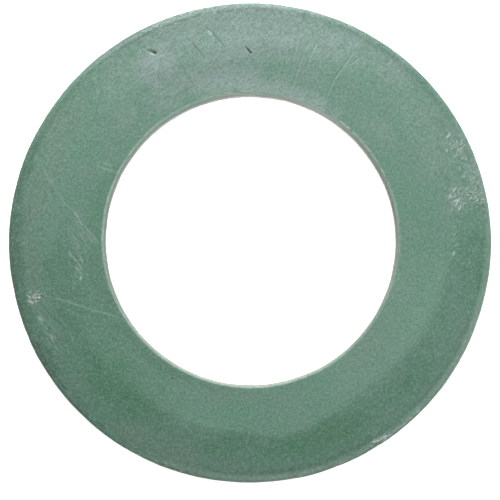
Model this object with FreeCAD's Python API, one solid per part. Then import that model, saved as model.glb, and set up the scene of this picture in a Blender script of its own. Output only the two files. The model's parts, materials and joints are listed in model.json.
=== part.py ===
import FreeCAD, Part
import math
import os

from FreeCAD import Vector

# A floristry ring for fresh-flower wreaths: wet floral foam bonded to a rigid expanded-polystyrene base.
# The origin is the centre of the underside, +Z is up, and every length is in millimetres.

# Driving dimensions
OUTER_DIAMETER = 305.0        # a 12 inch ring
HOLE_DIAMETER = 187.0
TOTAL_HEIGHT = 45.0
BASE_HEIGHT = 18.0            # polystyrene sheet
FILM_THICKNESS = 0.5          # adhesive between the foam and the polystyrene

# Shape of the foam's top
FLAT_TOP_WIDTH = 24.5         # level band next to the hole
SHOULDER_SLOPE = 10.0         # degrees below level, from the level band out to the rim
KNEE_RADIUS = 50.0            # soft bend between the level band and the slope
RIM_RADIUS = 6.0              # rounded outer edge of the foam
HOLE_EDGE_RADIUS = 1.5        # worn edge of the foam around the hole

# Shape of the base
BASE_EDGE_RADIUS = 1.0        # eased lower edges of the polystyrene

# Derived sizes
OUTER_RADIUS = OUTER_DIAMETER / 2
HOLE_RADIUS = HOLE_DIAMETER / 2
FILM_TOP = BASE_HEIGHT + FILM_THICKNESS

RING_AXIS = Vector(0, 0, 1)
FULL_TURN = 360.0
PARTS_FOLDER = "parts"


def section_point(radius, height):
    """A point of a radial section, which lies in the XZ plane."""
    return Vector(radius, 0, height)


def round_point(centre, radius, angle):
    """The point of a round at an angle in degrees, counted from the outward direction towards up."""
    turn = math.radians(angle)
    return centre + Vector(radius * math.cos(turn), 0, radius * math.sin(turn))


def line(start, end):
    return Part.LineSegment(start, end).toShape()


def arc(centre, radius, from_angle, to_angle):
    """A circular stretch of a section between two angles in degrees."""
    start = round_point(centre, radius, from_angle)
    middle = round_point(centre, radius, (from_angle + to_angle) / 2)
    end = round_point(centre, radius, to_angle)
    return Part.Arc(start, middle, end).toShape()


def revolve_section(edges):
    """The closed solid that a section sweeps around the ring's axis."""
    face = Part.Face(Part.Wire(edges))
    return face.revolve(Vector(0, 0, 0), RING_AXIS, FULL_TURN)


def foam_ring():
    """Foam: upright walls, a level band round the hole, a sloped shoulder and a rounded rim."""
    slope_normal = 90 - SHOULDER_SLOPE
    hole_foot = section_point(HOLE_RADIUS, FILM_TOP)
    rim_foot = section_point(OUTER_RADIUS, FILM_TOP)

    edge_centre = section_point(HOLE_RADIUS + HOLE_EDGE_RADIUS, TOTAL_HEIGHT - HOLE_EDGE_RADIUS)
    edge_start = round_point(edge_centre, HOLE_EDGE_RADIUS, 180)
    edge_end = round_point(edge_centre, HOLE_EDGE_RADIUS, 90)

    knee_centre = section_point(HOLE_RADIUS + FLAT_TOP_WIDTH, TOTAL_HEIGHT - KNEE_RADIUS)
    knee_start = round_point(knee_centre, KNEE_RADIUS, 90)
    knee_end = round_point(knee_centre, KNEE_RADIUS, slope_normal)

    rim_offset = round_point(Vector(0, 0, 0), RIM_RADIUS, slope_normal)
    slope_end_radius = OUTER_RADIUS - RIM_RADIUS + rim_offset.x
    slope_run = slope_end_radius - knee_end.x
    slope_drop = slope_run * math.tan(math.radians(SHOULDER_SLOPE))
    slope_end = section_point(slope_end_radius, knee_end.z - slope_drop)
    rim_centre = slope_end - rim_offset
    rim_end = round_point(rim_centre, RIM_RADIUS, 0)

    return revolve_section([
        line(hole_foot, edge_start),
        arc(edge_centre, HOLE_EDGE_RADIUS, 180, 90),
        line(edge_end, knee_start),
        arc(knee_centre, KNEE_RADIUS, 90, slope_normal),
        line(knee_end, slope_end),
        arc(rim_centre, RIM_RADIUS, slope_normal, 0),
        line(rim_end, rim_foot),
        line(rim_foot, hole_foot),
    ])


def adhesive_film():
    """Bond line: the sheets are joined before the ring is cut out, so the film reaches both walls."""
    outside = Part.makeCylinder(OUTER_RADIUS, FILM_THICKNESS, section_point(0, BASE_HEIGHT), RING_AXIS)
    hole = Part.makeCylinder(HOLE_RADIUS, FILM_THICKNESS, section_point(0, BASE_HEIGHT), RING_AXIS)
    return outside.cut(hole)


def base_ring():
    """Polystyrene base: a flat ring with eased lower edges."""
    hole_top = section_point(HOLE_RADIUS, BASE_HEIGHT)
    outer_top = section_point(OUTER_RADIUS, BASE_HEIGHT)

    hole_edge_centre = section_point(HOLE_RADIUS + BASE_EDGE_RADIUS, BASE_EDGE_RADIUS)
    hole_edge_start = round_point(hole_edge_centre, BASE_EDGE_RADIUS, 180)
    hole_edge_end = round_point(hole_edge_centre, BASE_EDGE_RADIUS, 270)

    outer_edge_centre = section_point(OUTER_RADIUS - BASE_EDGE_RADIUS, BASE_EDGE_RADIUS)
    outer_edge_start = round_point(outer_edge_centre, BASE_EDGE_RADIUS, 270)
    outer_edge_end = round_point(outer_edge_centre, BASE_EDGE_RADIUS, 360)

    return revolve_section([
        line(hole_top, hole_edge_start),
        arc(hole_edge_centre, BASE_EDGE_RADIUS, 180, 270),
        line(hole_edge_end, outer_edge_start),
        arc(outer_edge_centre, BASE_EDGE_RADIUS, 270, 360),
        line(outer_edge_end, outer_top),
        line(outer_top, hole_top),
    ])


PIECES = {
    "foam_ring": foam_ring,
    "adhesive_film": adhesive_film,
    "base_ring": base_ring,
}


def main():
    os.makedirs(PARTS_FOLDER, exist_ok=True)
    for name, make in PIECES.items():
        shape = make()
        shape.exportStep(f"{PARTS_FOLDER}/{name}.step")
        cubic_centimetres = shape.Volume / 1000
        print(f"{name}: valid {shape.isValid()}, {cubic_centimetres:.1f} cm3")


main()
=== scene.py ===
import itertools
import json
import math
from collections import namedtuple

import bmesh
import bpy
import numpy as np
from mathutils import Matrix, Vector


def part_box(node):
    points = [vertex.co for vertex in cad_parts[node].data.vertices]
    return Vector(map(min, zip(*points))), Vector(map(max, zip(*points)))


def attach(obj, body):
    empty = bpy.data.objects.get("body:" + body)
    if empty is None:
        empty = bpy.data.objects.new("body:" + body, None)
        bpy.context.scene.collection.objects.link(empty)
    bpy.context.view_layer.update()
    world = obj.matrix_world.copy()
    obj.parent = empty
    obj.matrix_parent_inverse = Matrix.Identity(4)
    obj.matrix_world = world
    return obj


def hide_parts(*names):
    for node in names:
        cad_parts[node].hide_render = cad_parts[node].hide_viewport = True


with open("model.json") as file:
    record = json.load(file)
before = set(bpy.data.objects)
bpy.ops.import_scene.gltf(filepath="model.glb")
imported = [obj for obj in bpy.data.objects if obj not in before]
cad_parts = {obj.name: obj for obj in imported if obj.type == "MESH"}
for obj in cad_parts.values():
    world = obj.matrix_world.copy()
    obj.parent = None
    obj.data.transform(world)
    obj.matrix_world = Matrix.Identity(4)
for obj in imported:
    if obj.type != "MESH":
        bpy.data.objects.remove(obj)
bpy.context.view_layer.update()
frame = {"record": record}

# ---------------------------------------------------------------------------------------------
# Sizes, in metres. The frame gives the outline; the section's details repeat the CAD source.
# ---------------------------------------------------------------------------------------------

MM = 0.001
FOAM_LOW, FOAM_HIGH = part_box("foam_ring")
BASE_LOW, BASE_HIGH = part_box("base_ring")
MOUNTS = {mount["name"]: mount for mount in frame["record"]["mounts"]}

RIM = FOAM_HIGH.x                                        # outer radius
HOLE = MOUNTS["centre_hole"]["dims"]["r_mm"] * MM        # hole radius
TOP = FOAM_HIGH.z
FOAM_FOOT = FOAM_LOW.z
BASE_TOP = BASE_HIGH.z
SECTION_WIDTH = RIM - HOLE

KNEE = HOLE + 28.5 * MM                                  # where the level band bends into the slope
KNEE_SOFTNESS = 1.1 * MM
SLOPE = math.tan(math.radians(10))
RIM_ROUND = 6 * MM
HOLE_ROUND = 1.5 * MM
BASE_ROUND = 1 * MM

# The ring was cut a little oval. Its hole is a little small and sits a little off centre.
RIM_OVAL = (0.4 * MM, 13)                                # size, and the angle of the long way in degrees
HOLE_OVAL = (0.28 * MM, -6)
HOLE_OFFSET = (1.8 * MM, 72)                             # size, and the angle that it lies towards
HOLE_BULGE = (0.6 * MM, 326, 24)                         # size inwards, angle, and half its width
HOLE_UNDERSIZE = 0.2 * MM

BODY = "root"


# ---------------------------------------------------------------------------------------------
# Seeded noise, the same on every run. The last argument of each call is its seed.
# ---------------------------------------------------------------------------------------------

def lattice(x, y, z, seed):
    """A fixed value from -1 to 1 for each whole-number point."""
    h = (x * 374761393 + y * 668265263 + z * 2147483647 + seed * 1274126177) & 0xFFFFFFFF
    h = ((h ^ (h >> 13)) * 1274126177) & 0xFFFFFFFF
    return ((h ^ (h >> 16)) & 0xFFFF) / 32767.5 - 1


def noise(points, cell, seed):
    """Smooth noise from about -1 to 1, with bumps about a cell wide."""
    scaled = points / cell
    low = np.floor(scaled).astype(np.int64)
    fade = scaled - low
    fade = fade * fade * (3 - 2 * fade)
    total = np.zeros(len(points))
    for corner in itertools.product((0, 1), repeat=3):
        share = np.prod(np.where(corner, fade, 1 - fade), axis=1)
        total += share * lattice(*(low + corner).T, seed)
    return total


def smooth_step(low, high, value):
    t = np.clip((value - low) / (high - low), 0, 1)
    return t * t * (3 - 2 * t)


def bell(value, width):
    return np.exp(-(value / width) ** 2)


# ---------------------------------------------------------------------------------------------
# Ring meshes
# ---------------------------------------------------------------------------------------------

def stretch(start, end, steps):
    """Points of a straight stretch of a section, without its last point."""
    share = np.linspace(0, 1, steps, endpoint=False)[:, None]
    return np.array(start) * (1 - share) + np.array(end) * share


def rounding(centre, radius, from_angle, to_angle, steps):
    """Points of a circular stretch of a section, without its last point."""
    angles = np.radians(np.linspace(from_angle, to_angle, steps, endpoint=False))
    return np.array(centre) + radius * np.stack([np.cos(angles), np.sin(angles)], axis=1)


def ring_object(name, section, columns):
    """A closed ring swept round +Z by a closed section of (radius, height) points."""
    turns = np.linspace(0, 2 * math.pi, columns, endpoint=False)
    radius, height = np.array(section).T
    across = np.outer(np.cos(turns), radius)
    up_page = np.outer(np.sin(turns), radius)
    heights = np.broadcast_to(height, across.shape)
    points = np.stack([across, up_page, heights], axis=-1).reshape(-1, 3)
    here = np.arange(len(points)).reshape(columns, len(radius))
    ahead = np.roll(here, -1, axis=1)
    faces = np.stack([here, ahead, np.roll(ahead, -1, axis=0), np.roll(here, -1, axis=0)], axis=-1)
    mesh = bpy.data.meshes.new(name)
    mesh.from_pydata(points.tolist(), [], faces.reshape(-1, 4).tolist())
    piece = bpy.data.objects.new(name, mesh)
    bpy.context.scene.collection.objects.link(piece)
    return piece


def refine(piece, wanted, shortest):
    """Halves the edges longer than shortest where wanted(middles) is true."""
    bm = bmesh.new()
    bm.from_mesh(piece.data)
    ends = np.array([[e.verts[0].co, e.verts[1].co] for e in bm.edges])
    lengths = np.linalg.norm(ends[:, 0] - ends[:, 1], axis=1)
    chosen = wanted(ends.mean(axis=1)) & (lengths > shortest)
    edges = [edge for edge, keep in zip(bm.edges, chosen) if keep]
    bmesh.ops.subdivide_edges(bm, edges=edges, cuts=1, use_grid_fill=True)
    bm.to_mesh(piece.data)
    bm.free()


def read_points(piece):
    """The mesh's points and the normals at them."""
    count = len(piece.data.vertices)
    points = np.zeros(count * 3)
    normals = np.zeros(count * 3)
    piece.data.vertices.foreach_get("co", points)
    piece.data.vertices.foreach_get("normal", normals)
    return points.reshape(-1, 3), normals.reshape(-1, 3)


def write_points(piece, points):
    piece.data.vertices.foreach_set("co", points.ravel())
    piece.data.polygons.foreach_set("use_smooth", [True] * len(piece.data.polygons))
    piece.data.update()


def write_mask(piece, name, values):
    """A value for each point, which the material reads."""
    layer = piece.data.attributes.new(name, "FLOAT", "POINT")
    layer.data.foreach_set("value", np.clip(values, 0, 1).astype(np.float32))


def polar(points):
    return np.hypot(points[:, 0], points[:, 1]), np.arctan2(points[:, 1], points[:, 0])


def outward(turns):
    return np.stack([np.cos(turns), np.sin(turns), np.zeros(len(turns))], axis=1)


def sector(turns, angle, half_width):
    """1 at an angle in degrees, fading to 0 about half_width degrees to each side."""
    off = np.degrees(np.angle(np.exp(1j * (turns - math.radians(angle)))))
    return bell(off, half_width)


def outline_shift(points):
    """How far the cut outline leaves the true circles, outwards. All the layers were cut together."""
    radius, turns = polar(points)
    share = np.clip((radius - HOLE) / SECTION_WIDTH, 0, 1)
    circle = outward(turns) * 0.1
    rim_oval = RIM_OVAL[0] * np.cos(2 * (turns - math.radians(RIM_OVAL[1])))
    hole_oval = HOLE_OVAL[0] * np.cos(2 * (turns - math.radians(HOLE_OVAL[1])))
    hole_offset = HOLE_OFFSET[0] * np.cos(turns - math.radians(HOLE_OFFSET[1]))
    rim = rim_oval + 0.16 * MM * noise(circle, 0.03, 3) + 0.1 * MM * noise(circle, 0.009, 4)
    hole = hole_oval + hole_offset
    hole -= HOLE_UNDERSIZE + HOLE_BULGE[0] * sector(turns, HOLE_BULGE[1], HOLE_BULGE[2])
    hole += 0.16 * MM * noise(circle, 0.03, 5) + 0.12 * MM * noise(circle, 0.012, 6)
    return rim * share + hole * (1 - share)


# ---------------------------------------------------------------------------------------------
# Marks in the foam. A place on the top is an angle in degrees from +X and a share of the way
# from the hole to the rim.
# ---------------------------------------------------------------------------------------------

# A groove along a path of flat points. Depth below 0 is a ridge. Pale and the painted shade of the groove
# run from 0 to 1.
Mark = namedtuple("Mark", "path width depth pale dark")

# A pressed patch. In millimetres: its length round the ring, its breadth across it, and the reach of a
# stroke to each side of its middle. Lean is the strokes' direction in degrees, and spread how it varies.
Crumple = namedtuple("Crumple", "angle share length breadth lean spread reach strokes pale")

# A stain's length and breadth are half-widths in millimetres, round the ring and across it.
Stain = namedtuple("Stain", "kind angle share length breadth strength")


def on_top(angle, share):
    radius = HOLE + share * SECTION_WIDTH
    turn = math.radians(angle)
    return np.array([radius * math.cos(turn), radius * math.sin(turn)])


def mark(places, width, depth, pale, dark=0.0):
    """A mark along places on the top. Width and depth are in millimetres."""
    return Mark(np.array([on_top(*place) for place in places]), width * MM, depth * MM, pale, dark)


# Thin scratches, crushed flecks and slivers of loose skin.
SCRATCHES = [
    mark([(194.1, 0.72), (197.5, 0.50), (202.4, 0.29), (206.8, 0.12), (211, 0.02)], 0.42, 0.18, 0.55),
    mark([(196.5, 0.64), (200.5, 0.50), (204, 0.40)], 0.45, 0.14, 0.3, 0.2),
    mark([(107.5, 0.72), (106.6, 0.67), (104.9, 0.53), (103.4, 0.42)], 0.42, 0.2, 0.0, 0.28),
    mark([(106.3, 0.65), (105.0, 0.54)], 0.45, 0.2, 0.0, 0.35),
    mark([(101.6, 0.77), (99.5, 0.65), (97.1, 0.52)], 0.42, 0.2, 0.0, 0.34),
    mark([(101.4, 0.76), (100.9, 0.73)], 0.5, 0.2, 0.0, 0.4),
    mark([(101.4, 0.73), (100.5, 0.68)], 0.75, 0.2, 1.0),
    mark([(95.2, 0.80), (93.0, 0.70)], 0.6, 0.2, 0.5, 0.3),
    mark([(61.5, 0.76), (62, 0.55), (62.8, 0.38), (62.5, 0.24), (61.5, 0.10)], 0.42, 0.2, 0.34, 0.3),
    mark([(59.5, 0.72), (60.6, 0.60)], 0.42, 0.15, 0.3, 0.25),
    mark([(73.7, 0.66), (74.4, 0.43), (74.8, 0.10)], 0.42, 0.14, 0.4, 0.3),
    mark([(71.5, 0.68), (72, 0.50), (72, 0.35)], 0.42, 0.12, 0.4, 0.25),
    mark([(76.5, 0.60), (76.8, 0.40)], 0.42, 0.1, 0.3, 0.2),
    mark([(160, 0.80), (164, 0.62), (168, 0.46), (170.5, 0.34)], 0.42, 0.12, 0.4, 0.2),
    mark([(170.5, 0.34), (173.5, 0.23), (177.5, 0.11), (181.5, 0.02)], 0.45, 0.16, 0.6, 0.4),
    mark([(173.5, 0.30), (177, 0.19), (181, 0.09)], 0.42, 0.12, 0.45, 0.4),
    mark([(176, 0.29), (180, 0.18)], 0.42, 0.12, 0.4, 0.35),
    mark([(170.6, 0.33), (172.3, 0.27)], 0.6, 0.2, 1.0, 0.5),
    mark([(153.7, 0.25), (153.3, 0.15), (152.6, 0.04)], 0.5, 0.14, 0.6, 0.2),
    mark([(151.7, 0.22), (151.3, 0.10)], 0.42, 0.1, 0.4),
    mark([(194.6, 0.80), (199.4, 0.71), (205.2, 0.60)], 0.45, 0.3, 0.2, 0.5),
    mark([(196, 0.84), (200.5, 0.76), (206, 0.68)], 0.45, 0.25, 0.4, 0.35),
    mark([(199.2, 0.83), (200.9, 0.80)], 0.8, 0.22, 1.0),
    mark([(204.8, 0.78), (206, 0.76)], 0.6, 0.2, 0.8),
    mark([(114, 0.50), (112, 0.12)], 0.42, 0.14, 0.3, 0.5),
    mark([(111, 0.50), (108.7, 0.08)], 0.42, 0.16, 0.4, 0.5),
    mark([(116.5, 0.50), (116, 0.20)], 0.42, 0.12, 0.35, 0.3),
    mark([(119, 0.45), (118.5, 0.15)], 0.42, 0.1, 0.3, 0.3),
    mark([(88, 0.72), (84, 0.50)], 0.42, 0.12, 0.35, 0.35),
    mark([(86, 0.74), (82.5, 0.55)], 0.42, 0.12, 0.35, 0.3),
    mark([(94, 0.78), (91.5, 0.62)], 0.42, 0.1, 0.3, 0.3),
    mark([(96.5, 0.10), (93.5, 0.04), (90.5, 0.06), (89, 0.10)], 0.5, 0.16, 0.35, 0.5),
    mark([(39.6, 0.20), (37.5, 0.26), (35.9, 0.30)], 0.42, 0.1, 0.3, 0.15),
    mark([(53.4, 0.03), (50.8, 0.02), (49, 0.03)], 0.5, -0.2, 1.0, 0.4),
    mark([(47, 0.02), (44.4, 0.01)], 0.5, -0.2, 1.0, 0.4),
    mark([(290.5, 0.975), (296, 0.972), (300.5, 0.962)], 0.5, -0.1, 0.7),
    mark([(301, 0.93), (303, 0.955), (305.5, 0.965)], 0.8, -0.2, 1.0),
    mark([(306, 0.97), (310, 0.975), (316, 0.975)], 0.5, -0.1, 0.9),
]

# Short deep gouges, the pale lips beside them, and torn flecks.
GOUGES = [
    mark([(117.9, 0.75), (116.4, 0.675)], 0.85, 1.2, 0.0, 1.0),
    mark([(118.3, 0.71), (117.2, 0.66)], 0.9, 0.1, 0.9),
    mark([(91.4, 0.515), (89.6, 0.435)], 0.5, 0.8, 0.0, 0.9),
    mark([(91.6, 0.48), (90.5, 0.435)], 0.5, 0.1, 0.6),
    mark([(85.5, 0.45), (85.3, 0.42)], 0.5, 0.2, 0.0, 0.3),
    mark([(240.5, 0.11), (240.2, 0.085)], 0.5, 0.5, 0.0, 0.6),
    mark([(54.6, 0.02), (53.6, 0.015)], 0.7, 0.4, 0.0, 0.9),
    mark([(48.3, 0.02), (47.3, 0.015)], 0.7, 0.5, 0.0, 1.0),
    mark([(357.6, 0.60), (356.4, 0.585)], 0.8, 0.3, 0.9),
    mark([(359.6, 0.64), (359.0, 0.60)], 0.4, 0.2, 0.3),
    mark([(192.6, 0.275), (191.6, 0.245)], 0.8, 0.3, 1.0, 0.4),
]

CRUMPLES = [
    Crumple(11.5, 0.68, 9, 7, 52, 22, 1.3, 34, 1.0),
    Crumple(24.5, 0.86, 12, 7, 48, 22, 1.4, 30, 0.9),
    Crumple(17.5, 0.91, 10, 5, 130, 22, 1.2, 20, 0.6),
    Crumple(12.5, 0.90, 13, 8, 20, 30, 1.3, 46, 0.75),
    Crumple(1.5, 0.60, 7, 4, 50, 22, 1.4, 7, 0.5),
    Crumple(356.0, 0.78, 9, 6, 50, 22, 1.3, 9, 0.4),
    Crumple(194.6, 0.80, 4.5, 5, 30, 40, 1.1, 34, 1.5),
    Crumple(205.5, 0.78, 13, 4, 128, 8, 2.2, 12, 0.5),
    Crumple(177.0, 0.18, 14, 9, 128, 5, 3.6, 16, 0.34),
    Crumple(189.0, 0.24, 12, 7, 128, 8, 2.0, 14, 0.5),
    Crumple(302.5, 0.945, 9, 2.4, 34, 20, 1.1, 18, 1.2),
    Crumple(310.0, 0.975, 26, 1.4, 40, 14, 1.3, 22, 1.2),
    Crumple(250.0, 0.97, 40, 2.0, 340, 22, 1.3, 24, 0.5),
    Crumple(74.0, 0.60, 34, 18, 62, 10, 2.0, 30, 0.2),
    Crumple(108.0, 0.94, 46, 4, 20, 30, 1.2, 50, 0.55),
    Crumple(82.0, 0.975, 56, 1.6, 172, 14, 1.4, 34, 0.8),
]
STROKE_SEED = 4
PATCH_SPREAD = 0.42                                      # of a patch's size, as a standard deviation
FURROW = 0.3 * MM                                        # depth of a stroke that sinks in
FOLD = -0.2 * MM                                         # depth of a stroke that stands up

# What changes the colour of the foam's skin, in the order of STAIN_KINDS: a grey painted sheen on the side
# towards the lamps, brownish dust, wet patches together with painted shade that leave it a darker, clear
# green, painted shade that darkens without greening, and dry cells rubbed pale together with a painted
# sheen.
STAIN_KINDS = ("painted_sheen", "dust", "damp_and_shade", "shade", "chalk_and_sheen")
STAINS = [
    # Painted sheen: a bluish grey over the side towards the lamps.
    Stain("painted_sheen", 117, 0.60, 19, 18, 0.85),
    Stain("painted_sheen", 111, 0.24, 15, 11, 0.7),
    Stain("painted_sheen", 104, 0.45, 11, 15, 0.6),
    Stain("painted_sheen", 97, 0.74, 26, 12, 0.6),
    Stain("painted_sheen", 84, 0.72, 26, 15, 0.5),
    Stain("painted_sheen", 67, 0.76, 20, 10, 0.65),
    Stain("painted_sheen", 76, 0.94, 24, 5, 0.5),
    Stain("painted_sheen", 52, 0.78, 22, 9, 0.4),
    Stain("painted_sheen", 81, 0.13, 17, 6, 0.7),
    Stain("painted_sheen", 96, 0.18, 26, 11, 0.75),
    Stain("painted_sheen", 134, 0.32, 10, 8, 0.35),
    Stain("painted_sheen", 120, 0.22, 20, 11, 0.5),
    Stain("painted_sheen", 94, 0.47, 40, 10, 0.66),
    Stain("painted_sheen", 32, 0.66, 32, 15, 0.22),
    Stain("painted_sheen", 108, 0.96, 60, 4, 0.5),
    Stain("painted_sheen", 132, 0.62, 16, 12, 0.25),
    Stain("painted_sheen", 42, 0.25, 18, 9, 0.25),
    Stain("painted_sheen", 12, 0.68, 8, 7, 0.35),
    Stain("painted_sheen", 16, 0.93, 14, 6, 0.5),
    Stain("painted_sheen", 26, 0.88, 11, 5, 0.4),
    Stain("painted_sheen", 194.8, 0.81, 5, 4, 0.9),
    Stain("painted_sheen", 92, 0.05, 22, 5, 0.8),
    Stain("painted_sheen", 94, 0.74, 84, 26, 0.64),
    Stain("painted_sheen", 70, 0.40, 30, 16, 0.3),
    Stain("painted_sheen", 78, 0.07, 36, 6, 0.7),
    Stain("dust", 149, 0.76, 22, 11, 0.55),
    Stain("dust", 167, 0.76, 22, 8, 0.45),
    Stain("dust", 187, 0.76, 22, 8, 0.5),
    Stain("dust", 254, 0.88, 22, 8, 0.4),
    Stain("dust", 240, 0.86, 16, 6, 0.45),
    Stain("dust", 272, 0.93, 26, 5, 0.25),
    Stain("dust", 322, 0.14, 22, 7, 0.3),
    Stain("dust", 262, 0.12, 18, 5, 0.3),
    Stain("dust", 33, 0.80, 22, 7, 0.25),
    # Wet patches together with painted shade: a darker, clearer green, mostly on the side away from the
    # lamps.
    Stain("damp_and_shade", 228, 0.50, 34, 15, 0.85),
    Stain("damp_and_shade", 210, 0.32, 28, 14, 0.5),
    Stain("damp_and_shade", 190, 0.46, 20, 9, 0.45),
    Stain("damp_and_shade", 292, 0.66, 36, 9, 0.8),
    Stain("damp_and_shade", 262, 0.60, 26, 8, 0.5),
    Stain("damp_and_shade", 318, 0.66, 26, 9, 0.4),
    Stain("damp_and_shade", 354, 0.84, 26, 10, 0.55),
    Stain("damp_and_shade", 186, 0.95, 70, 5, 0.5),
    Stain("damp_and_shade", 168, 0.08, 36, 7, 0.35),
    Stain("damp_and_shade", 200, 0.14, 44, 10, 0.45),
    Stain("damp_and_shade", 230, 0.07, 34, 6, 0.4),
    Stain("damp_and_shade", 120, 0.84, 12, 8, 0.3),
    Stain("damp_and_shade", 335, 0.35, 60, 22, 0.14),
    Stain("damp_and_shade", 202, 0.44, 44, 15, 0.45),
    # Painted shade: darker without greening, mostly on the left and along the lower rim.
    Stain("shade", 190, 0.97, 92, 7, 0.5),
    Stain("shade", 190, 0.43, 40, 10, 0.32),
    Stain("shade", 200, 0.06, 84, 6, 0.26),
    Stain("shade", 196, 0.25, 84, 16, 0.12),
    Stain("shade", 288, 0.95, 60, 5, 0.34),
    Stain("shade", 103, 0.86, 56, 10, 0.18),
    # Dry cells rubbed pale, together with a painted sheen on the level band at about 330 degrees.
    Stain("chalk_and_sheen", 325, 0.24, 56, 18, 0.12),
    Stain("chalk_and_sheen", 336, 0.43, 38, 8, 0.16),
    Stain("chalk_and_sheen", 255, 0.50, 18, 6, 0.14),
    Stain("chalk_and_sheen", 86, 0.07, 40, 6, 0.24),
    Stain("chalk_and_sheen", 98, 0.49, 26, 7, 0.1),
]


def strokes_of(crumple, random):
    """Short bent strokes scattered over a patch where the foam was pressed, each a furrow or a fold."""
    centre = on_top(crumple.angle, crumple.share)
    turn = math.radians(crumple.angle)
    outwards = np.array([math.cos(turn), math.sin(turn)])
    along = np.array([-outwards[1], outwards[0]])
    strokes = []
    for _ in range(crumple.strokes):
        place = random.normal(0, PATCH_SPREAD, 2) * MM
        middle = centre + along * place[0] * crumple.length + outwards * place[1] * crumple.breadth
        lean = math.radians(crumple.lean + random.normal(0, crumple.spread))
        reach = crumple.reach * random.uniform(0.6, 1.4) * MM * np.array([math.cos(lean), math.sin(lean)])
        bend = random.normal(0, 0.012 * crumple.spread) * MM * np.array([-math.sin(lean), math.cos(lean)])
        path = np.array([middle - reach, middle + bend, middle + reach])
        depth = random.choice([FOLD, FURROW]) * min(1, 0.1 + crumple.pale)
        pale = min(1, crumple.pale * random.uniform(0.35, 1.1))
        strokes.append(Mark(path, random.uniform(0.42, 0.62) * MM, depth, pale, min(1, 0.5 * crumple.pale)))
    return strokes


def all_marks():
    random = np.random.default_rng(STROKE_SEED)
    strokes = [stroke for crumple in CRUMPLES for stroke in strokes_of(crumple, random)]
    return SCRATCHES + GOUGES + strokes


def along_path(flat, path):
    """Each flat point's distance from the path, negative on its left, and its place on it, 0 to 1."""
    legs = np.diff(path, axis=0)
    lengths = np.linalg.norm(legs, axis=1)
    before = np.concatenate([[0], np.cumsum(lengths)])
    nearest = np.full(len(flat), np.inf)
    side = np.zeros(len(flat))
    place = np.zeros(len(flat))
    for start, leg, length, passed in zip(path, legs, lengths, before):
        offset = flat - start
        share = np.clip(offset @ leg / length ** 2, 0, 1)
        gap = offset - share[:, None] * leg
        distance = np.hypot(gap[:, 0], gap[:, 1])
        turn = leg[1] * offset[:, 0] - leg[0] * offset[:, 1]
        closer = distance < nearest
        nearest = np.where(closer, distance, nearest)
        side = np.where(closer, np.where(turn < 0, -distance, distance), side)
        place = np.where(closer, (passed + share * length) / before[-1], place)
    return side, place


def boxed(flat, path, reach):
    """Which flat points lie within reach of the path's box."""
    low, high = path.min(axis=0) - reach, path.max(axis=0) + reach
    return np.where(((flat > low) & (flat < high)).all(axis=1))[0]


def near_marks(middles, marks, reach):
    """True close to a mark on the top."""
    flat = middles[:, :2]
    found = np.zeros(len(middles), bool)
    for one in marks:
        close = boxed(flat, one.path, reach)
        side, _ = along_path(flat[close], one.path)
        found[close] |= np.abs(side) < reach
    return found & (middles[:, 2] > TOP - 11 * MM)


def carve(points, marks):
    """What the marks do to points on the top: their sinking, their paleness and the painted shade in them.
    """
    sink, pale, dark = np.zeros((3, len(points)))
    for one in marks:
        close = boxed(points[:, :2], one.path, 4 * one.width)
        side, place = along_path(points[close, :2], one.path)
        fade = np.clip(np.minimum(place, 1 - place) * 8 + 0.15, 0, 1)
        strength = fade * np.clip(0.85 + 0.6 * noise(points[close], 2.2 * MM, 21), 0, 1)
        groove = bell(side, one.width)
        lip = bell(np.abs(side) - 1.7 * one.width, 0.8 * one.width)
        sink[close] += one.depth * strength * (groove - 0.3 * lip)
        # light_side holds crushed pale cells; painted shade goes on dark_side, and in the groove itself for
        # marks without paleness.
        light_side = bell(side + 0.6 * one.width, 0.9 * one.width)
        dark_side = bell(side - 0.6 * one.width, 0.9 * one.width)
        pale[close] = np.maximum(pale[close], one.pale * strength * light_side)
        darkened = groove if one.pale == 0 else dark_side
        dark[close] = np.maximum(dark[close], one.dark * strength * darkened)
    return np.array([sink, pale, dark])


def stained(points, kind):
    """How strongly one kind of stain shows at each point. The stains' edges are ragged."""
    radius, turns = polar(points)
    ragged = 0.3 * noise(points, 13 * MM, 81)
    ragged += 0.2 * noise(points, 5 * MM, 82) + 0.12 * noise(points, 2 * MM, 83)
    total = np.zeros(len(points))
    for stain in STAINS:
        if stain.kind == kind:
            around = radius * np.angle(np.exp(1j * (turns - math.radians(stain.angle))))
            across = radius - HOLE - stain.share * SECTION_WIDTH
            reach = np.hypot(around / (stain.length * MM), across / (stain.breadth * MM)) + ragged
            total = np.maximum(total, stain.strength * (1 - smooth_step(0.35, 1.45, reach)))
    return total


# ---------------------------------------------------------------------------------------------
# The foam
# ---------------------------------------------------------------------------------------------

FOAM_COLUMNS = 500

# How finely the foam's mesh is split: edges longer than these are halved.
MARK_EDGE = 0.5 * MM
BAND_EDGE = 0.8 * MM
AROUND_MARKS = 1.6 * MM
BESIDE_MARKS = 0.8 * MM


def slope_drop(radius, knee):
    """How far the top has fallen below its level band at a radius."""
    return SLOPE * KNEE_SOFTNESS * np.logaddexp(0, (radius - knee) / KNEE_SOFTNESS)


SLOPE_END = RIM - 0.8 * RIM_ROUND
RIM_CENTRE = (RIM - RIM_ROUND, TOP - slope_drop(SLOPE_END, KNEE) - 0.985 * RIM_ROUND)
HOLE_CENTRE = (HOLE + HOLE_ROUND, TOP - HOLE_ROUND)


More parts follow.
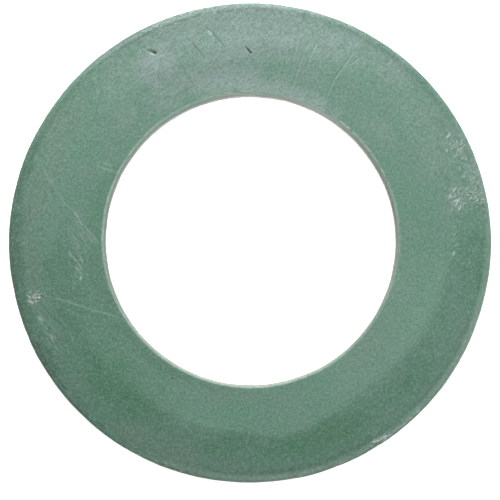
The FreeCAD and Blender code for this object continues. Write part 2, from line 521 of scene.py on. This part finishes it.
def foam_section():
    """The foam's closed section, clockwise from the foot of the hole's wall."""
    top_radii = np.linspace(HOLE + HOLE_ROUND, SLOPE_END, 44, endpoint=False)
    top = np.stack([top_radii, TOP - slope_drop(top_radii, KNEE)], axis=1)
    return np.concatenate([
        stretch((HOLE, FOAM_FOOT), (HOLE, TOP - 4 * MM), 12),
        stretch((HOLE, TOP - 4 * MM), (HOLE, TOP - HOLE_ROUND), 5),
        rounding(HOLE_CENTRE, HOLE_ROUND, 180, 90, 9),
        top,
        rounding(RIM_CENTRE, RIM_ROUND, 78, 0, 9),
        stretch((RIM, RIM_CENTRE[1]), (RIM, FOAM_FOOT), 9),
        stretch((RIM, FOAM_FOOT), (HOLE, FOAM_FOOT), 4),
    ])


# Where the slope starts farther out or nearer the hole: angle, millimetres outwards, and half the width.
KNEE_LOBES = [
    (2, 7.0, 15),
    (-28, 1.5, 12),
    (-48, -1.5, 12),
    (-81, 4.5, 9),
    (-125, -2.0, 22),
    (180, 6.0, 22),
    (95, 3.0, 20),
]


def knee_shift(turns):
    """How far out the slope starts past its even line, so that its upper edge waves."""
    circle = outward(turns) * 0.1
    shift = sum(size * sector(turns, angle, width) for angle, size, width in KNEE_LOBES)
    return shift * MM + 1.0 * MM * noise(circle, 0.025, 11) + 0.5 * MM * noise(circle, 0.008, 12)


def square_up(points, centre, size, outwards, power):
    """The offset that moves a round of the section towards a square corner. Power 2 keeps it round."""
    radius, turns = polar(points)
    across = np.clip(outwards * (radius - centre[0]) / size, 0, 1)
    up = np.clip((points[:, 2] - centre[1]) / size, 0, 1)
    grown = np.hypot(across, up) / np.maximum((across ** power + up ** power) ** (1 / power), 1e-6)
    added = np.where((across > 0) & (up > 0), (grown - 1) * size, 0)[:, None]
    return added * (outwards * outward(turns) * across[:, None] + np.array([0, 0, 1]) * up[:, None])


def shoulder(points):
    """1 on the sloped shoulder and 0 on the level band, with a crisp border that follows the knee."""
    radius, turns = polar(points)
    past_knee = radius - KNEE - knee_shift(turns) + 0.7 * MM * noise(points, 2.5 * MM, 17)
    crisp = 0.9 * MM + 3.5 * MM * sector(turns, 205, 55)
    return smooth_step(-crisp, crisp, past_knee)


def edge_bands(points):
    """1 along the hole's upper edge and 1 along the rounded rim, fading to 0 away from them."""
    radius, _ = polar(points)
    from_edge = np.hypot(radius - HOLE, 0.25 * (TOP - points[:, 2]))
    hole_edge = 1 - smooth_step(0.6 * MM, 1.5 * MM, from_edge)
    rim = smooth_step(RIM - 6.5 * MM, RIM - 3.5 * MM, radius)
    above_wall = smooth_step(TOP - 20 * MM, TOP - 14 * MM, points[:, 2])
    return hole_edge, rim * above_wall


# Stretches of the rim and of the hole's edge: angle, half the width, and strength.
ROUGH_RIM = [(100, 34, 0.9), (62, 22, 0.4), (-57, 8, 1.0), (-112, 10, 0.6), (205, 10, 0.5), (20, 10, 0.5)]
# Crushed pale cells along the rim from about 275 to 360 degrees, together with painted light from the
# bright floor.
PALE_RIM = [(275, 16, 0.4), (305, 20, 0.3), (335, 20, 0.35), (0, 22, 0.22)]
# Painted shade along the rim, strongest on the left.
PAINTED_SHADE_RIM = [(180, 30, 0.42), (60, 14, 0.12), (222, 14, 0.2), (120, 16, 0.42)]
DULL_HOLE_EDGE = [(0, 22, 0.5), (215, 28, 0.4), (318, 26, 0.5)]
PALE_HOLE_WALL = [(60, 15, 1.0)]
# Painted shade on the hole's wall from about 330 to 0 degrees.
PAINTED_SHADE_HOLE_WALL = [(330, 24, 0.45), (0, 14, 0.15)]


def along_edge(turns, stretches):
    """How strong the stretches are at each turn."""
    return sum(size * sector(turns, angle, width) for angle, width, size in stretches)


def rough_rim(turns):
    """Where the rim was rubbed or chipped."""
    return np.clip(along_edge(turns, ROUGH_RIM), 0, 1)


def rim_dip(points):
    """A faint dip a few millimetres inside the rim, all the way round; its darkening is painted shade."""
    radius, turns = polar(points)
    line = RIM - 4.6 * MM + 0.5 * MM * noise(outward(turns) * 0.1, 0.012, 18)
    return bell(radius - line, 1.6 * MM) * np.clip(0.7 + 0.6 * noise(points, 7 * MM, 19), 0, 1)


def rim_line(points, stretches, reach):
    """A line along the rim that fades out at its reach, as strong as the stretches say."""
    radius, turns = polar(points)
    near_rim = 1 - smooth_step(0.28 * reach, reach, RIM - radius)
    above_wall = smooth_step(TOP - 17 * MM, TOP - 12 * MM, points[:, 2])
    return along_edge(turns, stretches) * near_rim * above_wall


def hole_line(points, stretches):
    """A line along the hole's wall and its very edge, as strong as the stretches say."""
    radius, turns = polar(points)
    near_hole = 1 - smooth_step(0.3 * MM, 0.9 * MM, radius - HOLE)
    return along_edge(turns, stretches) * near_hole


def rim_crease(points):
    """A shallow crease inside the rim, where the edge was pressed: it comes and goes around the ring."""
    radius, turns = polar(points)
    pressed = sector(turns, 222, 26) + 0.8 * sector(turns, 112, 26) + 0.5 * sector(turns, 168, 14)
    line = RIM - 3.4 * MM - 1.8 * MM * sector(turns, 112, 26)
    line += 0.5 * MM * noise(outward(turns) * 0.1, 0.01, 15)
    broken = smooth_step(-0.7, 0.2, noise(points, 5 * MM, 16))
    return np.clip(pressed, 0, 1) * bell(radius - line, 0.6 * MM) * broken


class Skin:
    """What is known about each point of the foam's surface before it is moved."""

    def __init__(self, rest, normals):
        self.rest = rest
        self.normals = normals
        self.radius, self.turns = polar(rest)
        self.free = smooth_step(FOAM_FOOT, FOAM_FOOT + 2 * MM, rest[:, 2])
        self.facing_up = smooth_step(0.25, 0.6, normals[:, 2])
        self.hole_edge, self.rim_band = edge_bands(rest)
        self.rubbed = self.rim_band * rough_rim(self.turns)
        self.crease = rim_crease(rest)
        self.dip = rim_dip(rest)
        self.crumbs = noise(rest, 1.2 * MM, 45)
        self.chips = smooth_step(0.2, 0.8, noise(rest, 2.6 * MM, 46) + 0.5 * self.crumbs)

    def shaped(self):
        """The points after the ring's large shape: outline, squared corners and the wave of the knee."""
        rest, turns = self.rest, self.turns
        rim_power = 2 + 2.2 * (1 - sector(turns, 110, 40)) + 2 * sector(turns, 275, 40)
        points = rest + outward(turns) * outline_shift(rest)[:, None]
        points += square_up(rest, RIM_CENTRE, RIM_ROUND, 1, rim_power)
        points += square_up(rest, HOLE_CENTRE, HOLE_ROUND, -1, 5)
        shift = slope_drop(self.radius, KNEE) - slope_drop(self.radius, KNEE + knee_shift(turns))
        points[:, 2] += shift * smooth_step(FOAM_FOOT, TOP - 8 * MM, rest[:, 2])
        return points

    def relief(self):
        """How far each point stands out of the large shape."""
        rest = self.rest
        bumps = 0.2 * MM * noise(rest, 42 * MM, 41) + 0.1 * MM * noise(rest, 16 * MM, 42)
        grain = 0.07 * MM * noise(rest, 4.5 * MM, 43) + 0.05 * MM * noise(rest, 1.8 * MM, 44)
        on_wall = smooth_step(0.7, 0.3, self.normals[:, 2])
        knife_lines = 0.06 * MM * noise(rest * (1, 1, 14), 22 * MM, 47) * on_wall
        at_hole = self.hole_edge * (0.2 * MM * self.crumbs - 0.35 * MM * self.chips)
        rough = 0.3 * self.rim_band + 0.7 * self.rubbed
        at_rim = rough * (0.1 * MM * self.crumbs - 0.22 * MM * self.chips)
        pressed = 0.2 * MM * self.crease + 0.08 * MM * self.dip
        return (bumps + grain + knife_lines + at_hole + at_rim - pressed) * self.free

    def paleness(self, from_marks):
        """Crushed, dry cells look pale: along the hole's edge, on the rubbed rim and beside marks; along
        the lower rim the paleness also paints light from the bright floor.
        """
        flecks = smooth_step(-0.1, 0.6, noise(self.rest, 1.1 * MM, 51) + 0.4 * noise(self.rest, 6 * MM, 52))
        on_rubbed = smooth_step(0.1, 0.7, noise(self.rest, 0.9 * MM, 53)) * 0.32
        return np.maximum.reduce([
            from_marks,
            self.hole_edge * (0.6 + 0.4 * flecks) * (1 - along_edge(self.turns, DULL_HOLE_EDGE)),
            self.rubbed * on_rubbed,
            hole_line(self.rest, PALE_HOLE_WALL) * (0.4 + 0.6 * flecks),
            rim_line(self.rest, PALE_RIM, 5.5 * MM) * (0.7 + 0.4 * flecks),
        ])

    def darkness(self, from_marks):
        """Pores on the rubbed rim, and painted shade in the marks, on the hole's cut wall and in its chips,
        in the rim's crease and dip, and along stretches of the rim and the hole's wall.
        """
        # Painted shade on the hole's cut wall just below its edge.
        wall = 0.08 * (1 - smooth_step(0.2 * MM, 0.6 * MM, self.radius - HOLE)) * (1 - self.hole_edge)
        on_rubbed = smooth_step(0.1, 0.7, -noise(self.rest, 0.9 * MM, 53)) * 0.3
        return np.maximum.reduce([
            from_marks,
            wall,
            0.3 * self.hole_edge * self.chips,
            0.6 * self.crease,
            0.16 * self.dip,
            self.rubbed * on_rubbed,
            hole_line(self.rest, PAINTED_SHADE_HOLE_WALL),
            rim_line(self.rest, PAINTED_SHADE_RIM, 3 * MM),
        ])


def make_foam():
    marks = all_marks()
    piece = ring_object("foam_ring_visible", foam_section(), FOAM_COLUMNS)
    refine(piece, lambda middles: near_marks(middles, marks, AROUND_MARKS), MARK_EDGE)
    refine(piece, lambda middles: np.maximum(*edge_bands(middles)) > 0.3, BAND_EDGE)
    refine(piece, lambda middles: near_marks(middles, marks, BESIDE_MARKS), MARK_EDGE)
    rest, normals = read_points(piece)
    skin = Skin(rest, normals)
    points = skin.shaped()
    sink, pale, dark = carve(points, marks) * skin.facing_up
    relief = skin.relief() - sink
    relief[rest[:, 2] < FOAM_FOOT + 0.1 * MM] = 0
    write_points(piece, points + normals * relief[:, None])
    write_mask(piece, "pale", skin.paleness(pale))
    write_mask(piece, "dark", skin.darkness(dark))
    write_mask(piece, "shoulder", shoulder(rest))
    for kind in STAIN_KINDS:
        write_mask(piece, kind, stained(rest, kind))
    return piece


# ---------------------------------------------------------------------------------------------
# The adhesive line and the polystyrene base
# ---------------------------------------------------------------------------------------------

def make_adhesive():
    """Glue squeezed unevenly to the two walls: in some places it stands proud, in others it is set back."""
    middle = (BASE_TOP + FOAM_FOOT) / 2
    half = (FOAM_FOOT - BASE_TOP) / 2
    section = np.concatenate([
        rounding((HOLE, middle), half, 270, 90, 6),
        stretch((HOLE, FOAM_FOOT), (RIM, FOAM_FOOT), 4),
        rounding((RIM, middle), half, 90, -90, 6),
        stretch((RIM, BASE_TOP), (HOLE, BASE_TOP), 4),
    ])
    piece = ring_object("adhesive_line", section, FOAM_COLUMNS)
    rest, _ = read_points(piece)
    _, turns = polar(rest)
    at_rim = np.where(rest[:, 0] ** 2 + rest[:, 1] ** 2 > (HOLE + SECTION_WIDTH / 2) ** 2, 1, -1)
    squeeze = 0.25 * MM * noise(rest, 9 * MM, 61) + 0.2 * MM * noise(rest, 3 * MM, 62) - 0.15 * MM
    points = rest + outward(turns) * (outline_shift(rest) + at_rim * squeeze)[:, None]
    write_points(piece, points)
    return piece


BASE_COLUMNS = 700
BASE_LEDGE = 0.65 * MM                                   # how far the base stands out into the foam's hole
BASE_SHIFT = 0.35 * MM                                   # how far its hole lies towards +Y of the foam's
LEDGE_COVERED = 0.7                                      # share of the ledge that the foam's bulge hides
BEAD = 3.6 * MM
BEAD_CROWN = 0.16                                        # how far from the seams a bead rises, in cells


def base_section():
    hole_centre = (HOLE + BASE_ROUND, BASE_LOW.z + BASE_ROUND)
    rim_centre = (RIM - BASE_ROUND, BASE_LOW.z + BASE_ROUND)
    return np.concatenate([
        stretch((HOLE, hole_centre[1]), (HOLE, BASE_TOP), 18),
        stretch((HOLE, BASE_TOP), (RIM, BASE_TOP), 4),
        stretch((RIM, BASE_TOP), (RIM, rim_centre[1]), 18),
        rounding(rim_centre, BASE_ROUND, 0, -90, 3),
        stretch((rim_centre[0], BASE_LOW.z), (hole_centre[0], BASE_LOW.z), 60),
        rounding(hole_centre, BASE_ROUND, 270, 180, 3),
    ])


def press_beads(piece, depth):
    """Sinks the seams between the beads into the surface, with the cell pattern that the material uses."""
    tree = bpy.data.node_groups.new("beads", "GeometryNodeTree")
    for side in ("INPUT", "OUTPUT"):
        tree.interface.new_socket("Geometry", in_out=side, socket_type="NodeSocketGeometry")
    n = Nodes(tree, "GeometryNodeInputPosition", "Position")
    seams = n.cells(BEAD, "DISTANCE_TO_EDGE").outputs["Distance"]
    along_normal = n.add("ShaderNodeVectorMath", operation="SCALE")
    n.feed(along_normal.inputs["Vector"], n.add("GeometryNodeInputNormal").outputs["Normal"])
    n.feed(along_normal.inputs["Scale"], n.ramp(seams, 0, BEAD_CROWN, -depth, 0))
    move = n.add("GeometryNodeSetPosition")
    n.feed(move.inputs["Geometry"], n.add("NodeGroupInput").outputs["Geometry"])
    n.feed(move.inputs["Offset"], along_normal.outputs["Vector"])
    n.feed(n.add("NodeGroupOutput").inputs["Geometry"], move.outputs["Geometry"])
    piece.modifiers.new("beads", "NODES").node_group = tree
    pressed = bpy.data.meshes.new_from_object(piece.evaluated_get(bpy.context.evaluated_depsgraph_get()))
    piece.modifiers.clear()
    piece.data = pressed


def make_base():
    piece = ring_object("base_ring_visible", base_section(), BASE_COLUMNS)
    rest, normals = read_points(piece)
    _, turns = polar(rest)
    free = 1 - smooth_step(BASE_TOP - 1 * MM, BASE_TOP, rest[:, 2])
    at_hole = 1 - smooth_step(HOLE + 2 * MM, HOLE + 20 * MM, polar(rest)[0])
    covered = LEDGE_COVERED * sector(turns, HOLE_BULGE[1], HOLE_BULGE[2])
    ledge = (BASE_LEDGE - BASE_SHIFT * np.sin(turns)) * (1 - covered) * at_hole
    points = rest + outward(turns) * (outline_shift(rest) - ledge)[:, None]
    relief = 0.12 * MM * noise(rest, 30 * MM, 71) - 0.12 * MM
    write_points(piece, points + normals * (relief * free)[:, None])
    press_beads(piece, 0.22 * MM)
    return piece


# ---------------------------------------------------------------------------------------------
# Materials
# ---------------------------------------------------------------------------------------------

class Nodes:
    """Short calls that build a node tree. The place socket gives each point's position."""

    def __init__(self, tree, place_kind, place_output):
        self.tree = tree
        self.place = self.add(place_kind).outputs[place_output]

    def add(self, kind, **settings):
        node = self.tree.nodes.new(kind)
        for key, value in settings.items():
            setattr(node, key, value)
        return node

    def feed(self, socket, value):
        """Links an output to the socket, or sets the socket's own value."""
        if isinstance(value, bpy.types.NodeSocket):
            self.tree.links.new(value, socket)
        else:
            socket.default_value = value

    def noise(self, size, detail=2.0, rough=0.5, place=None):
        """Noise from 0 to 1 with features about size metres wide."""
        node = self.add("ShaderNodeTexNoise")
        self.feed(node.inputs["Vector"], place or self.place)
        self.feed(node.inputs["Scale"], 1 / size)
        self.feed(node.inputs["Detail"], detail)
        self.feed(node.inputs["Roughness"], rough)
        return node.outputs["Fac"]

    def stretched(self, angle, along, across):
        """The place, turned by an angle in degrees and squeezed, so that noise on it makes streaks."""
        turned = self.add("ShaderNodeMapping", vector_type="TEXTURE")
        self.feed(turned.inputs["Vector"], self.place)
        turned.inputs["Rotation"].default_value = (0, 0, math.radians(angle))
        turned.inputs["Scale"].default_value = (along, across, across)
        return turned.outputs["Vector"]

    def cells(self, size, feature="F1"):
        node = self.add("ShaderNodeTexVoronoi", feature=feature)
        self.feed(node.inputs["Vector"], self.place)
        self.feed(node.inputs["Scale"], 1 / size)
        return node

    def attribute(self, name):
        return self.add("ShaderNodeAttribute", attribute_name=name).outputs["Fac"]

    def ramp(self, value, low, high, to_low=0.0, to_high=1.0):
        """Moves a range of values to another range, smoothly and without overshoot."""
        node = self.add("ShaderNodeMapRange", interpolation_type="SMOOTHSTEP")
        for socket, number in zip(node.inputs[:5], (value, low, high, to_low, to_high)):
            self.feed(socket, number)
        return node.outputs["Result"]

    def combine(self, operation, first, second):
        node = self.add("ShaderNodeMath", operation=operation)
        self.feed(node.inputs[0], first)
        self.feed(node.inputs[1], second)
        return node.outputs["Value"]

    def mix(self, share, first, second, blend="MIX"):
        """A colour between two."""
        node = self.add("ShaderNodeMix", data_type="RGBA", blend_type=blend)
        self.feed(node.inputs["Factor"], share)
        self.feed(node.inputs["A"], first)
        self.feed(node.inputs["B"], second)
        return node.outputs["Result"]

    def bump(self, height, distance, strength=1.0, normal=None):
        node = self.add("ShaderNodeBump")
        self.feed(node.inputs["Height"], height)
        node.inputs["Distance"].default_value = distance
        node.inputs["Strength"].default_value = strength
        if normal:
            self.feed(node.inputs["Normal"], normal)
        return node.outputs["Normal"]


class Material(Nodes):
    """A material's node tree, with a main shader."""

    def __init__(self, name):
        self.material = bpy.data.materials.new(name)
        self.material.use_nodes = True
        self.shader = self.material.node_tree.nodes["Principled BSDF"]
        super().__init__(self.material.node_tree, "ShaderNodeTexCoord", "Object")

    def set(self, **values):
        """Sets sockets of the main shader, named with underscores for spaces."""
        for key, value in values.items():
            self.feed(self.shader.inputs[key.replace("_", " ")], value)


def rgb(red, green, blue):
    """A colour given as it looks on a screen, 0 to 255, as the linear colour that shaders use."""
    def linear(value):
        value /= 255
        return value / 12.92 if value <= 0.04045 else ((value + 0.055) / 1.055) ** 2.4
    return (linear(red), linear(green), linear(blue), 1.0)


SHOULDER_DARKER = 0.16                                   # how much darker the sloped shoulder is coloured than the level band
PALE_CELLS = rgb(188, 208, 196)
LIT_CELLS = rgb(160, 190, 175)
# The colour of pores, and of painted shade.
PORE_SHADE = rgb(34, 54, 44)
STAIN_COLOURS = {
    # painted sheen
    "painted_sheen": rgb(138, 157, 154),
    "dust": rgb(114, 138, 122),
    # wet patches together with painted shade
    "damp_and_shade": rgb(80, 131, 101),
    # painted shade
    "shade": rgb(74, 106, 91),
    # rubbed pale cells together with painted sheen
    "chalk_and_sheen": LIT_CELLS,
}


def stained_green(n):
    """The foam's broad colours: mottled green, darker on the shoulder, with the stains over it, painted
    sheen and shade among them.
    """
    mottling = n.ramp(n.noise(0.02, 5, 0.6), 0.36, 0.64)
    colour = n.mix(mottling, rgb(102, 145, 124), rgb(109, 145, 128))
    darker = n.combine("MULTIPLY", n.attribute("shoulder"), SHOULDER_DARKER)
    colour = n.mix(darker, colour, rgb(70, 112, 92))
    blotches = n.ramp(n.noise(0.007, 4, 0.65), 0.3, 0.7, 0.66, 1.2)
    for kind in STAIN_KINDS:
        colour = n.mix(n.combine("MULTIPLY", n.attribute(kind), blotches), colour, STAIN_COLOURS[kind])
    return colour


def hatched(n, colour, streaks, crossing):
    """Fine rubbed lines that cross each other, strongest under the painted sheen."""
    rubbed = n.ramp(n.attribute("painted_sheen"), 0, 0.6, 0.06, 0.24)
    raised = n.ramp(n.combine("MAXIMUM", streaks, crossing), 0.54, 0.76)
    sunk = n.ramp(crossing, 0.48, 0.3)
    colour = n.mix(n.combine("MULTIPLY", raised, rubbed), colour, PALE_CELLS)
    return n.mix(n.combine("MULTIPLY", sunk, rubbed), colour, PORE_SHADE)


def speckled(n, colour):
    """The foam's open cells: lit walls and pores in painted shade."""
    speckle = n.noise(0.0015, 4, 0.75)
    colour = n.mix(n.ramp(speckle, 0.48, 0.7, 0, 0.42), colour, LIT_CELLS)
    return n.mix(n.ramp(speckle, 0.5, 0.28, 0, 0.42), colour, PORE_SHADE)


def foam_material():
    """Fine-celled foam: dull green with mottling, stains with painted sheen and shade among them, hatching,
    speckle, crushed cells, pores and painted shade in marks and creases.
    """
    n = Material("wet_foam")
    streaks = n.noise(0.0011, 2, place=n.stretched(-48, 5.0, 1.0))
    crossing = n.noise(0.0011, 2, place=n.stretched(43, 5.0, 1.0))
    colour = speckled(n, hatched(n, stained_green(n), streaks, crossing))
    # The painted shade mask darkens the colour towards the pores' colour.
    colour = n.mix(n.attribute("dark"), colour, PORE_SHADE)
    colour = n.mix(n.combine("MULTIPLY", n.attribute("pale"), 0.9), colour, PALE_CELLS)
    cell_bump = n.bump(n.noise(0.0009, 4, 0.7), 0.0004, 0.5)
    n.set(Base_Color=colour, Normal=n.bump(streaks, 0.0002, 0.2, cell_bump))
    # The painted sheen's mask also makes the skin a little smoother there.
    n.set(Roughness=n.ramp(n.attribute("painted_sheen"), 0, 1, 0.66, 0.56), Specular_IOR_Level=0.5)
    n.set(Sheen_Weight=0.04, Sheen_Roughness=0.6)
    return n.material


def adhesive_material():
    n = Material("adhesive")
    colour = n.mix(n.ramp(n.noise(0.006, 2), 0.3, 0.7), rgb(186, 178, 142), rgb(206, 202, 176))
    n.set(Base_Color=colour, Roughness=n.ramp(n.noise(0.003, 2), 0.3, 0.7, 0.3, 0.5))
    n.set(Normal=n.bump(n.noise(0.002, 2), 0.0003, 0.4))
    return n.material


def polystyrene_material():
    """Fused white beads: each has its own faint tint, and the seams between them are fine and darker."""
    n = Material("polystyrene")
    seams = n.cells(BEAD, "DISTANCE_TO_EDGE").outputs["Distance"]
    tints = n.add("ShaderNodeSeparateColor")
    n.feed(tints.inputs["Color"], n.cells(BEAD).outputs["Color"])
    colour = n.mix(n.ramp(tints.outputs["Red"], 0, 1), rgb(190, 188, 184), rgb(208, 207, 203))
    colour = n.mix(n.ramp(seams, 0.09, 0.0, 0, 0.5), colour, rgb(160, 158, 152))
    n.set(Base_Color=colour, Roughness=0.55, Specular_IOR_Level=0.4)
    n.set(Normal=n.bump(n.ramp(seams, 0, BEAD_CROWN), 0.0002, 0.5, n.bump(n.noise(0.0006, 2), 0.0001, 0.3)))
    return n.material


def finish_piece(piece, material, node):
    piece.data.materials.append(material)
    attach(piece, BODY)
    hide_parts(node)


# ---------------------------------------------------------------------------------------------
# Floor, light and camera
# ---------------------------------------------------------------------------------------------

FLOOR_HALF = 30.0
FLOOR_GLOW = 0.85                                        # so that the floor shows plain white
CAMERA_HEIGHT = 2.45                                     # above the foam's top
CAMERA_PLACE = (-0.013, -0.077)                          # the point that the camera stands over
CAMERA_AIM = (-0.0001, -0.0050)                          # the point of the foam's top that it looks at
RIM_DEPTH = 9 * MM                                       # the rim is widest about this far below the top
SENSOR = 36.0
FRAME_SHARE = 0.9620                                     # the ring's width as a share of the picture's


def make_floor():
    bm = bmesh.new()
    bmesh.ops.create_grid(bm, x_segments=1, y_segments=1, size=FLOOR_HALF)
    mesh = bpy.data.meshes.new("floor")
    bm.to_mesh(mesh)
    bm.free()
    floor = bpy.data.objects.new("floor", mesh)
    bpy.context.scene.collection.objects.link(floor)
    floor.location.z = BASE_LOW.z - 0.05 * MM
    n = Material("pale_floor")
    n.set(Base_Color=rgb(236, 236, 236), Roughness=0.9, Specular_IOR_Level=0.1)
    n.set(Emission_Color=(1, 1, 1, 1), Emission_Strength=FLOOR_GLOW)
    floor.data.materials.append(n.material)


def make_world(strength):
    world = bpy.data.worlds.new("studio")
    world.use_nodes = True
    background = world.node_tree.nodes["Background"]
    background.inputs["Color"].default_value = (0.96, 0.98, 1.0, 1)
    background.inputs["Strength"].default_value = strength
    bpy.context.scene.world = world


def make_light(name, azimuth, elevation, distance, width, power):
    """A square softbox that faces the ring, azimuth degrees round from +X and elevation degrees up."""
    turn, rise = math.radians(azimuth), math.radians(elevation)
    towards = Vector((math.cos(turn) * math.cos(rise), math.sin(turn) * math.cos(rise), math.sin(rise)))
    data = bpy.data.lights.new(name, "AREA")
    data.size = width
    data.energy = power
    light = bpy.data.objects.new(name, data)
    light.location = towards * distance
    light.rotation_mode = "QUATERNION"
    light.rotation_quaternion = towards.to_track_quat("Z", "Y")
    light.visible_camera = False
    bpy.context.scene.collection.objects.link(light)


def make_camera():
    data = bpy.data.cameras.new("camera")
    data.sensor_width = SENSOR
    rim_distance = CAMERA_HEIGHT + RIM_DEPTH
    data.lens = SENSOR * FRAME_SHARE * rim_distance / (2 * RIM)
    data.clip_end = 100
    camera = bpy.data.objects.new("camera", data)
    place = Vector((*CAMERA_PLACE, TOP + CAMERA_HEIGHT))
    forward = (Vector((*CAMERA_AIM, TOP)) - place).normalized()
    right = forward.cross(Vector((0, 1, 0))).normalized()
    up = right.cross(forward)
    camera.matrix_world = Matrix.Translation(place) @ Matrix((right, up, -forward)).transposed().to_4x4()
    bpy.context.scene.collection.objects.link(camera)
    bpy.context.scene.camera = camera


# ---------------------------------------------------------------------------------------------
# The whole picture
# ---------------------------------------------------------------------------------------------

finish_piece(make_foam(), foam_material(), "foam_ring")
finish_piece(make_adhesive(), adhesive_material(), "adhesive_film")
finish_piece(make_base(), polystyrene_material(), "base_ring")

make_floor()
make_world(strength=0.08)
make_light("high_light", azimuth=15, elevation=58, distance=1.3, width=1.0, power=5.5)
make_light("low_light", azimuth=100, elevation=36, distance=1.6, width=1.1, power=26.8)
make_light("front_fill", azimuth=275, elevation=25, distance=1.6, width=1.0, power=3.2)
make_camera()
bpy.context.scene.view_settings.view_transform = "Standard"
